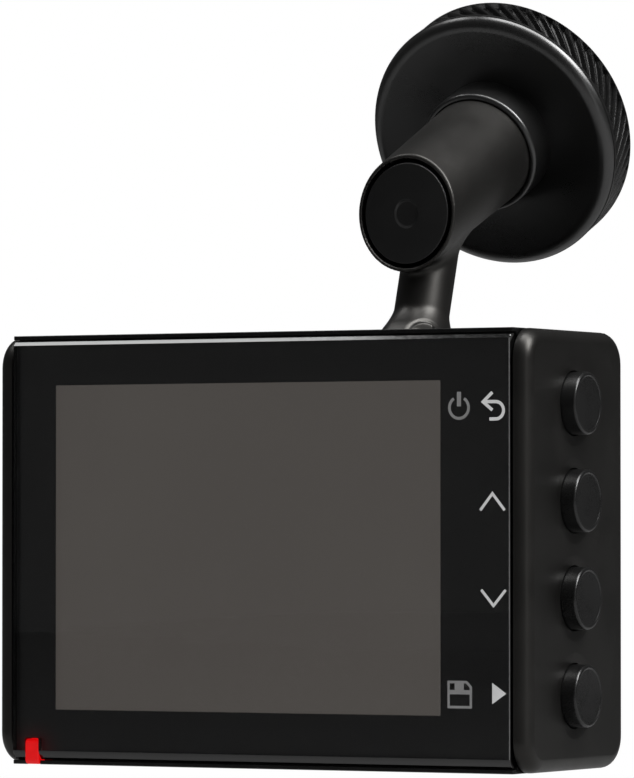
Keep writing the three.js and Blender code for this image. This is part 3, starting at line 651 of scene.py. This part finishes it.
def right_side():
    """The button side: each bore has a soft shallow hollow round it."""
    bore = BUTTON_RADIUS + 0.12
    outer = BUTTON_RADIUS + 1.5
    profile = [
        (0, SIDE - 5),
        (bore, SIDE - 5),
        (bore, SIDE - 0.03, 0.03),
        (BUTTON_RADIUS + 1.1, SIDE, 1.0),
        (outer, SIDE + 0.1),
        (outer, SIDE + 2),
        (0, SIDE + 2),
    ]
    bores = [lathe(profile, along_x(centre_of(name))) for name in BUTTONS]
    shape = combine(end_cap(1), bores)
    piece("right_side", shape, "camera", "cap", ["right_end_cap"])


def left_side():
    """The plain side, with the card's slot and finger hollow, and the power socket's opening."""
    card = centre_of("memory_card")
    card_low, card_high = box_of("memory_card")
    port_low, port_high = box_of("usb_socket")
    slot = rectangle(about(card.y, 0.6), (card_low.z - 0.2, card_high.z + 0.2), 0.3)
    room = Vector((0.3, 0.3, 0.3))  # round the power socket
    port_low, port_high = port_low - room, port_high + room
    port = rectangle((port_low.y, port_high.y), (port_low.z, port_high.z), 1.2)
    finger = rectangle(about(card.y, 1.3), about(card.z, 3), 1.2)
    outside, inside = -SIDE - 1, -20
    openings = [prism(outline, "x", outside, inside) for outline in (slot, port)]
    openings.append(prism(finger, "x", outside, -SIDE + 0.5, (0, 0.4)))
    shape = combine(end_cap(-1), openings)
    piece("left_side", shape, "camera", "cap", ["left_end_cap"], bevel=0.08)


# ---- Window, screen and printed symbols ------------------------------------------

GLASS_SHIFT = 0.35  # how far to the left the symbols on the back of the glass are printed
OPENING_SHIFT = 0.19  # and how far to the right the clear opening is
SCREEN_HALF = (20.4, 15.3)  # half the width and height of the screen's picture
BEHIND = (-20, 0)  # a reach along the camera's depth that goes through the window's layers


def light_gap(start, end):
    """The gap for the record light in the pane and in its print."""
    return prism(rectangle(about(LIGHT.x, LIGHT_HALF + 0.08), (-1, 2.5), 0.15), "y", start, end)


def window_pane():
    """The pane, with a bevelled and blackened edge. The bevel is wider at the bottom."""
    face, back, bevel = WINDOW_LOW.y, WINDOW_HIGH.y, 0.46
    low, high = WINDOW_LOW.z, WINDOW_HIGH.z
    section = [
        (back, high),
        (face + bevel, high),
        (face, high - bevel),
        (face, low + 0.85),
        (face + 0.16, low + bevel),
        (face + bevel + 0.1, low),
        (back, low),
    ]
    pane = prism(soften(section), "x", WINDOW_LOW.x, WINDOW_HIGH.x, (0.08, 0.08), 1)
    shape = combine(pane, [light_gap(REAR - 1, back + 1)])
    made = piece("window_glass", shape, "camera", "window", ["rear_window"])
    made.data.materials.append(LOOKS["glass_edge"])
    for polygon in made.data.polygons:
        polygon.material_index = int(abs(polygon.normal.y) < 0.999)


def window_print():
    """The black print on the back of the pane, open over the screen and the record light."""
    back, corner, inset = WINDOW_HIGH.y, 0.5, 0.1
    outline = rectangle((WINDOW_LOW.x, WINDOW_HIGH.x), (WINDOW_LOW.z, WINDOW_HIGH.z), corner)
    sheet = prism(shrink(outline, inset), "y", back + 0.005, back + 0.045)
    across, up = SCREEN_HALF
    clear = rectangle(about(SCREEN.x + OPENING_SHIFT, across), about(SCREEN.z, up), 0.05)
    shape = combine(sheet, [prism(clear, "y", *BEHIND), light_gap(*BEHIND)])
    piece("window_print", shape, "camera", "print")


def gasket():
    """The tape that holds the window, open over the screen and the record light."""
    low, high = box_of("window_gasket")
    sheet = prism(rectangle((low.x, high.x), (low.z, high.z), 0.3), "y", low.y, high.y)
    across, up = SCREEN_HALF
    clear = rectangle(about(SCREEN.x, across + 1.5), about(SCREEN.z, up + 1), 0.4)
    light = rectangle(about(LIGHT.x, 0.9), (-1, 3.8), 0.1)
    shape = combine(sheet, [prism(clear, "y", *BEHIND), prism(light, "y", *BEHIND)])
    piece("window_tape", shape, "camera", "foam", ["window_gasket"])


def display():
    """The screen's panel and the tin plate behind it."""
    low, high = box_of("display_panel")
    outline = rectangle((low.x, high.x), (low.z, high.z), 0.25)
    panel = prism(outline, "y", low.y + 0.03, high.y, (0.08, 0.08), 3)
    piece("screen_panel", panel, "camera", "screen", ["display_panel"])
    low, high = box_of("display_back_plate")
    outline = rectangle((low.x, high.x), (low.z, high.z), 0.6)
    plate = prism(outline, "y", low.y, high.y, (0.06, 0.06), 3)
    piece("screen_back_plate", plate, "camera", "tin", ["display_back_plate"])


def print_shapes(name, look, shapes):
    """Prints flat closed outlines on the back of the glass as one piece."""
    front, back = WINDOW_HIGH.y + 0.001, WINDOW_HIGH.y + 0.004
    bm = bmesh.new()
    for outline in shapes:
        rows = [[bm.verts.new((a - GLASS_SHIFT, y, b)) for a, b in outline] for y in (front, back)]
        for i in range(len(outline)):
            bm.faces.new((rows[0][i - 1], rows[0][i], rows[1][i], rows[1][i - 1]))
        bm.faces.new(rows[0])
        bm.faces.new(rows[1])
    bmesh.ops.recalc_face_normals(bm, faces=bm.faces)
    to_metres(bm)
    made = new_object(name, bm)
    made.data.materials.append(LOOKS[look])
    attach(made, "camera")


def line(corners, width):
    """A line of constant width through the corners, as a closed outline."""
    points = [Vector(corner) for corner in corners]
    steps = [(after - before).normalized() for before, after in zip(points, points[1:])]
    sides = []
    for before, after in zip([steps[0], *steps], [*steps, steps[-1]]):
        normal = Vector((-before.y - after.y, before.x + after.x)).normalized()
        sides.append(normal * width / 2 / max(math.cos(before.angle(after) / 2), 0.3))
    left = [point + side for point, side in zip(points, sides)]
    right = [point - side for point, side in zip(points, sides)]
    return left + right[::-1]


def arc(centre, radius, start, end, steps=24):
    """Points along an arc, from one angle in degrees to another."""
    angles = [math.radians(start + (end - start) * k / steps) for k in range(steps + 1)]
    return [(centre[0] + radius * math.cos(t), centre[1] + radius * math.sin(t)) for t in angles]


def power_symbol(x, z):
    ring = arc((x, z), 0.98, 122, 418)
    return [line(ring, 0.27), line([(x, z + 0.12), (x, z + 1.45)], 0.42)]


def back_symbol(x, z):
    """An arrow that turns back on itself."""
    bend = arc((x + 0.26, z - 0.36), 0.79, 80, -80, 14)
    hook = [(x - 1.0, z + 0.43), (x + 0.2, z + 0.43), *bend, (x - 0.38, z - 1.15)]
    head = [(x - 0.08, z + 1.28), (x - 1.02, z + 0.42), (x - 0.08, z - 0.34)]
    return [line(hook, 0.3), line(head, 0.3)]


def chevron(x, z, rise):
    """Two strokes that meet above their ends, or below them if the rise is negative."""
    half = 1.24
    return [line([(x - half, z - rise / 2), (x, z + rise / 2), (x + half, z - rise / 2)], 0.26)]


def save_symbol(x, z):
    """A floppy disk with one corner cut off."""
    left, right, low, high = x - 1.13, x + 1.13, z - 1.14, z + 1.14
    cut, shelf, label = 0.45, z + 0.02, z + 0.42
    case = [(left, low), (right, low), (right, high - cut), (right - cut, high), (left, high)]
    rim = line([*case, *case[:2]], 0.24)
    band = [(left, shelf), (right, shelf), (right, label), (left, label)]
    shutter = [(x - 0.52, label), (x + 0.42, label), (x + 0.42, high + 0.1), (x - 0.52, high + 0.1)]
    return [rim, band, shutter]


def play_symbol(x, z):
    return [[(x - 0.71, z - 0.97), (x + 0.72, z), (x - 0.71, z + 0.97)]]


def symbols():
    """The six plain symbols beside the screen, in rows level with the buttons."""
    print_shapes("symbol_power", "dim_icon_painted_glow", power_symbol(21.14, 33.25))
    print_shapes("symbol_back", "bright_icon_painted_glow", back_symbol(24.62, 33.34))
    print_shapes("symbol_up", "bright_icon_painted_glow", chevron(24.54, 24.66, 1.52))
    print_shapes("symbol_down", "bright_icon_painted_glow", chevron(24.64, 15.96, -1.44))
    print_shapes("symbol_save", "dim_icon_painted_glow", save_symbol(21.2, 7.14))
    print_shapes("symbol_play", "bright_icon_painted_glow", play_symbol(25.21, 7.28))


def record_light():
    """The red light pipe: a foot at the window's lower edge with a tail back to its lamp."""
    face = rectangle((LIGHT_LOW.y, WINDOW_HIGH.y + 0.2), (LIGHT_LOW.z, 2.4), (0.42, 0.1))
    foot = prism(face, "x", LIGHT_LOW.x - 0.05, LIGHT_HIGH.x + 0.05, (0.12, 0.12), 4)
    tail_outline = rectangle((WINDOW_HIGH.y + 0.08, LIGHT_HIGH.y), (WALL + 0.1, LIGHT_HIGH.z), 0.1)
    tail = prism(tail_outline, "x", LIGHT_LOW.x + 0.02, LIGHT_HIGH.x - 0.02)
    shape = combine(foot, [tail], "UNION")
    piece("record_light", shape, "camera", "red", ["record_light_pipe"])


# ---- Buttons ---------------------------------------------------------------------


def buttons():
    """Each button: a slightly dished face inside a narrow raised rim."""
    for name in BUTTONS:
        low, high = box_of(name)
        centre = centre_of(name)
        flange = high.y - centre.y
        profile = [
            (0, low.x),
            (1, low.x, 0.1),
            (1, low.x + 0.7),
            (flange, low.x + 0.7),
            (flange, SHELL_HALF),
            (BUTTON_RADIUS, SHELL_HALF),
            (BUTTON_RADIUS, high.x, 0.24),
            (BUTTON_RADIUS - 0.32, high.x, 0.12),
            (BUTTON_RADIUS - 0.42, high.x - 0.07, 0.12),
            (0, high.x - 0.1),
        ]
        shape = lathe(profile, along_x(centre))
        piece(name + "_cap", shape, name, "button", [name])


# ---- Lens ------------------------------------------------------------------------


def lens_piece(name, stands_for, profile, look, segments=96, steps=6):
    """A ring or glass turned about the lens's axis. It stands for one CAD node."""
    hollow = profile[0][0] > 0
    shape = lathe(profile, along_y(LENS.x, LENS.z), hollow, segments, steps)
    piece(name, shape, "camera", look, [stands_for])


def lens_hood():
    """The outer barrel: a foot against the case, a groove, and a rounded front edge."""
    front = box_of("lens_shroud")[1].y
    profile = [
        (8.3, 8),
        (9, 8),
        (9, FRONT + 0.1),
        (10.7, FRONT + 0.1, 0.15),
        (10.7, FRONT + 1.2, 0.2),
        (10.45, FRONT + 1.35, 0.1),
        (10.45, FRONT + 1.7, 0.1),
        (10.6, FRONT + 1.85, 0.2),
        (10.2, front, 0.75),
        (9.35, front, 0.2),
        (9, front - 0.4),
        (9, front - 2.7),
        (7.6, front - 2.7),
        (7.6, 11),
        (8.3, 11),
    ]
    lens_piece("lens_hood", "lens_shroud", profile, "lens_body", 128)


def lens_baffle():
    """The front ring, stepped down towards the glass to keep stray light out."""
    low, high = box_of("lens_bezel")
    wide, narrow, count = 8.4, 6.9, 7
    profile = [(8.85, low.y), (8.85, high.y, 0.08)]
    radius = wide
    for k in range(count + 1):
        along = high.y - (high.y - low.y) * k / count
        if k:
            profile.append((radius - 0.02, along + 0.06, 0.03))
        radius = wide - (wide - narrow) * k / count
        profile.append((radius, along + (0.06 if k < count else 0)))
    lens_piece("lens_baffle", "lens_bezel", profile, "inner", 128, 3)


def inner_barrel():
    profile = [
        (4.4, 0.4),
        (6, 0.4),
        (6, 8.2),
        (7.2, 8.2),
        (7.2, 18.6, 0.2),
        (6.4, 18.6, 0.1),
        (6.4, 14.5),
        (4.4, 14.5, 0.1),
    ]
    lens_piece("inner_barrel", "lens_barrel", profile, "lens_body")


def lens_glass(name, radius, rear_bulge, front_bulge, count=14):
    """One lens, whose faces bulge from its edge to its middle."""
    low, high = box_of(name)
    shares = [k / count for k in range(count + 1)]
    rear = [(radius * t, low.y + rear_bulge * t**2) for t in shares]
    front = [(radius * t, high.y - front_bulge * t**2) for t in reversed(shares)]
    lens_piece(name + "_glass", name, [*rear, *front], "lens")


def lens():
    lens_hood()
    lens_baffle()
    inner_barrel()
    lens_glass("front_lens", 6.3, 0, 2.3)
    lens_glass("middle_lens", 4.3, 0.5, 0.9)
    lens_glass("rear_lens", 4.3, 0.7, 0.8)


# ---- Arm -------------------------------------------------------------------------


def meet(a, b, radius):
    """The space inside both surfaces, with the edge between them rounded."""
    over = np.hypot(np.maximum(a + radius, 0), np.maximum(b + radius, 0))
    return over - radius + np.minimum(np.maximum(a, b) + radius, 0)


def fillet(a, b, radius):
    """The space inside either surface, with a fillet between them."""
    under = np.hypot(np.maximum(radius - a, 0), np.maximum(radius - b, 0))
    return np.maximum(np.minimum(a, b), radius) - under


def tube_distance(radial, along, depth):
    """The tube, whose rear end is cut upright."""
    radius = np.interp(along, [-TUBE["length"], -1], [TUBE["rear"], TUBE["front"]])
    return meet(meet(radial - radius, -depth, 0.2), along + 0.2, 0.25)


def stem_distance(foot):
    """The leaning stem, from the foot up into the tube."""
    way = np.array([0, math.sin(STEM["lean"]), math.cos(STEM["lean"])])
    root = foot + np.array([0, STEM["back"], 0])
    height = root @ way
    aside = np.linalg.norm(root - height[:, None] * way, axis=1)
    return np.maximum(np.maximum(aside - STEM["radius"], -height), height - STEM["length"])


def drum_distance(foot, turning):
    """The foot: the upper half of a rounded drum, its rear corner cut off, on a core round the pin."""
    across = np.abs(foot[:, 0]) - DRUM["half"]
    whole = meet(turning - DRUM["radius"], across, DRUM["round"])
    corner = np.maximum(foot[:, 1] + 4.35, foot[:, 2] - 2.5)
    upper = np.maximum(np.maximum(whole, -corner), -0.6 - foot[:, 2])
    return np.minimum(upper, np.maximum(turning - DRUM["core"], across))


def nub(foot, turning):
    """The flat half-round pad on the foot's rear corner, and the distance from its outline."""
    way, middle, radius = math.radians(38), (0.2, 2.36), 1.64
    aside = foot[:, 0] * math.cos(way) + foot[:, 1] * math.sin(way) - middle[0]
    outward = foot[:, 0] * math.sin(way) - foot[:, 1] * math.cos(way)
    above = foot[:, 2] - middle[1]
    outline = np.hypot(aside, above) - radius
    face = outward + 0.2 * above - 3.75
    limits = np.maximum(np.abs(foot[:, 0]) - DRUM["half"] - 0.15, turning - DRUM["radius"] - 0.2)
    pad = meet(outline, np.maximum(face, limits), 0.1)
    behind = np.where(outward > 0, outline, 9)
    return np.maximum(pad, 1.5 - outward), behind


def arm_bore(radial, along, depth):
    """The space inside the tube: the plug's seat, a chamber, and a hole for the swivel screw."""
    seat = np.maximum(radial - BORE["seat"], depth - 3)
    ends = np.maximum(along + 3.5, 2 - TUBE["length"] - along)
    chamber = np.maximum(radial - BORE["chamber"], ends)
    screw = np.maximum(radial - BORE["screw"], -5 - along)
    return np.minimum(seat, np.minimum(chamber, screw))


def arm_distance(points):
    """Distance outside the arm's surface, in millimetres."""
    local = (points - np.array(DISC_CENTRE)) @ np.array(DISC_TURN)
    radial, along = np.hypot(local[:, 0], local[:, 2]), local[:, 1]
    rear = DISC_CENTRE.y - TUBE["length"] * DISC_AXIS.y
    depth = points[:, 1] - rear  # distance in front of the tube's upright rear end
    foot = points - np.array(PIVOT)
    turning = np.hypot(foot[:, 1], foot[:, 2])  # distance from the tilt axis
    whole = fillet(tube_distance(radial, along, depth), stem_distance(foot), 1.2)
    whole = fillet(whole, drum_distance(foot, turning), 1.0)
    pad, outline = nub(foot, turning)
    whole += 0.15 * np.exp(-(((outline - 0.15) / 0.15) ** 2))  # a shallow groove round the pad
    spigot = np.maximum(np.maximum(radial - TUBE["spigot"], along - 1.1), -3 - along)
    whole = np.minimum(np.minimum(whole, pad), spigot)
    whole = meet(whole, -arm_bore(radial, along, depth), 0.1)
    return np.maximum(whole, DRUM["pin"] - turning)


def arm():
    """The elbow: tube, stem and foot in one."""
    low, high = box_of("mount_arm")
    shape = surface_net(arm_distance, low, high, step=0.14)
    piece("elbow_arm", shape, "mount_arm", "arm", ["mount_arm"], sharp=50)


def arm_plug():
    """The plug in the tube's rear end, cut upright like the tube, with a plain dimple at its centre."""
    radius, depth = 4.33, 2.85
    profile = [
        (0, depth),
        (radius, depth),
        (radius, 0, 0.14),
        (1.25, 0, 0.1),
        (1.05, 0.16, 0.2),
        (0, 0.2),
    ]
    shape = lathe(profile, segments=128)
    lean = DISC_AXIS.z / DISC_AXIS.y
    for vertex in shape.verts:
        along = vertex.co.y
        if along < 1:
            vertex.co.y = along + vertex.co.z * lean
        vertex.co = DISC_PLACE @ (vertex.co - Vector((0, TUBE["length"], 0)))
    piece("arm_plug", shape, "mount_arm", "plug", ["arm_end_cap"])


# ---- Disc ------------------------------------------------------------------------


def disc():
    """The dished disc, with a raised collar that hugs the arm's tube."""
    radius, rim, back = DISC["radius"], DISC["rim"], DISC["back"]
    ring_seat, hollow = DISC["ring_seat"], DISC["hollow"]
    profile = [
        (1.4, 1.2),
        (4.75, 1.2),
        (4.75, 0.4, 0.05),
        (5.44, 0.4, 0.05),
        (5.44, -3.5, 0.03),
        (5.92, -3.5, 0.4),
        (5.95, 0.1),
        (radius, rim, 1.2),
        (radius, 0.22, 0.04),
        (ring_seat, 0.22),
        (ring_seat, back, 0.1),
        (9.4, back, 0.1),
        (9.4, hollow),
        (4.6, hollow),
        (4.6, back - 0.1, 0.1),
        (2.35, back - 0.1, 0.1),
        (2.35, hollow),
        (1.4, hollow),
    ]
    shape = lathe(profile, DISC_PLACE, True, 160, 8)
    piece("dished_disc", shape, "mount_disc", "disc", ["mount_disc"])


def knurl():
    """The grip ring: slanted ridges with narrow crests, and a plain edge at the back."""
    ridges = 54
    inner, valley, crest = 11.3, 12.05, DISC["radius"] - 0.02
    start, end = 0.3, DISC["back"] - 0.02
    slant = -3.7 / crest
    # One ridge: shares of its pitch, with the height there.
    half = [(0, 1), (0.08, 0.99), (0.14, 0.85), (0.22, 0.15), (0.28, 0)]
    section = [*half, (0.5, 0), *((1 - share, height) for share, height in reversed(half[1:]))]
    # Across the ring: shares of its width, how full the valleys are, and how far it is drawn in.
    rows = [(0, 0, 0.1), (0.02, 0, 0), (0.24, 0, 0), (0.48, 0, 0), (0.72, 0, 0), (0.93, 0, 0)]
    rows += [(0.95, 1, 0), (0.985, 1, 0), (1, 1, 0.05)]

    def place(radius, angle, along):
        return DISC_PLACE @ Vector((radius * math.cos(angle), along, -radius * math.sin(angle)))

    def ring(share, radius_at):
        along = start + (end - start) * share
        return [
            place(radius_at(height), 2 * math.pi * (i + part) / ridges + slant * share, along)
            for i in range(ridges)
            for part, height in section
        ]

    rings = []
    for share, fill, drawn in rows:
        rings.append(ring(share, lambda height: valley + (crest - valley) * max(height, fill) - drawn))
    rings += [ring(1, lambda height: inner), ring(0, lambda height: inner), rings[0]]
    shape = loft(rings, caps=False)
    piece("knurled_ring", shape, "mount_disc", "knurl", ["grip_ring"])


def windshield_layer(name, stands_for, low, radius, rounding, look):
    """A round layer 1 mm thick, stuck to the windshield behind the disc."""
    high = low + 1
    profile = [(0, low), (radius, low, rounding), (radius, high, rounding), (0, high)]
    shape = lathe(profile, DISC_PLACE, segments=128)
    piece(name, shape, "windshield_plate", look, [stands_for])


def windshield_parts():
    back = DISC["back"]
    windshield_layer("steel_disc", "steel_plate", back + 0.2, 11.4, 0.15, "steel")
    windshield_layer("foam_pad", "adhesive_pad", back + 1.3, 11.2, 0.25, "foam")


# ---- Pieces that keep their CAD shape --------------------------------------------


def numbered(name, count):
    return [f"{name}_{i}" for i in range(1, count + 1)]


CAD_LOOKS = {
    "board": ["main_board", "button_board", "sensor_board"],
    "chip": [*numbered("switch", 4), "image_sensor", "speaker"],
    "tin": ["processor_shield", "card_socket", "usb_socket", "microphone"],
    "steel": [
        *numbered("board_screw", 3),
        *numbered("lens_screw", 2),
        *numbered("bracket_screw", 2),
        *("tilt_bracket", "tilt_pin", "swivel_screw", "spring_washer", "disc_magnet"),
    ],
    "brass": ["tilt_washer_left", "tilt_washer_right", "friction_washer", "swivel_nut"],
    "film": ["display_ribbon"],
    "card": ["memory_card"],
    "lamp": ["record_led"],
    "wrap": ["battery"],
    "inner": ["lens_holder"],
}


def cad_finishes():
    """Gives a material and soft edges to the inner parts, which keep their CAD shape."""
    for look, names in CAD_LOOKS.items():
        for name in names:
            kept = frame["nodes"][name]
            kept.data.materials.clear()
            kept.data.materials.append(LOOKS[look])
            edge_bevel(kept, 0.05, segments=2, angle=50)


# ---- Studio ----------------------------------------------------------------------


def camera():
    """The main view: from the button side, almost level, through a long lens."""
    made = bpy.data.cameras.new("camera")
    made.sensor_width = 36
    made.lens = 272.45
    eye = bpy.data.objects.new("camera", made)
    bpy.context.scene.collection.objects.link(eye)
    eye.location = Vector((263.354, -487.977, 21.715)) * MM
    eye.rotation_euler = (math.radians(91.414), 0, math.radians(28.271))
    made.clip_start, made.clip_end = 0.01, 50
    bpy.context.scene.camera = eye


def lamp(name, place, size, power, aim=(0, 0, 0.03)):
    """A soft rectangular light. Its places and sizes are in metres."""
    made = bpy.data.lights.new(name, "AREA")
    made.shape = "RECTANGLE"
    made.size, made.size_y = size
    made.energy = power
    holder = bpy.data.objects.new(name, made)
    bpy.context.scene.collection.objects.link(holder)
    holder.location = place
    holder.rotation_euler = (Vector(aim) - Vector(place)).to_track_quat("-Z", "Y").to_euler()


def seen_as(tree, lighting, seen):
    """A shader that lights the scene in one way and looks another way to the camera."""
    ray = node(tree, "ShaderNodeLightPath").outputs["Is Camera Ray"]
    shaders = {0: ray, 1: lighting.outputs[0], 2: seen.outputs[0]}
    return node(tree, "ShaderNodeMixShader", shaders).outputs[0]


def studio():
    """A dim white room behind a white backdrop, with lamps above and to the right."""
    scene = bpy.context.scene
    scene.view_settings.view_transform = "Standard"
    world = bpy.data.worlds.new("studio")
    scene.world = world
    world.use_nodes = True
    tree = world.node_tree
    tree.nodes.clear()
    room = node(tree, "ShaderNodeBackground", {"Color": shade(1), "Strength": 0.06})
    backdrop = node(tree, "ShaderNodeBackground", {"Color": shade(1), "Strength": 1.0})
    node(tree, "ShaderNodeOutputWorld", {"Surface": seen_as(tree, room, backdrop)})
    lamp("left_top", (-0.45, -0.02, 0.73), (0.2, 0.3), 1.0, (-0.45, -0.02, 0))
    lamp("overhead", (0.15, -0.05, 0.73), (0.6, 0.3), 4.6, (0.15, -0.05, 0))
    lamp("right_top", (0.49, -0.05, 0.52), (0.3, 0.35), 5.4)
    lamp("right_strip", (0.62, -0.33, 0.06), (0.08, 0.5), 0.22)


def floor():
    """A pale floor well below the camera, which hangs from a windshield."""
    low, half = -0.045, 3.0  # metres
    bm = bmesh.new()
    bmesh.ops.create_grid(bm, x_segments=2, y_segments=2, size=half)
    bmesh.ops.translate(bm, vec=Vector((0, 0, low)), verts=bm.verts)
    made = new_object("floor", bm)
    look, tree, shader = blank("pale_floor", Roughness=0.9)
    feed(tree, shader, {"Base Color": shade(0.32)})
    white = node(tree, "ShaderNodeEmission", {"Color": shade(1), "Strength": 1.0})
    out = next(n for n in tree.nodes if n.type == "OUTPUT_MATERIAL")
    tree.links.new(seen_as(tree, shader, white), out.inputs["Surface"])
    made.data.materials.append(look)


def build():
    case_shell()
    right_side()
    left_side()
    window_pane()
    window_print()
    gasket()
    display()
    symbols()
    record_light()
    buttons()
    lens()
    arm()
    arm_plug()
    disc()
    knurl()
    windshield_parts()
    cad_finishes()


build()
camera()
studio()
floor()
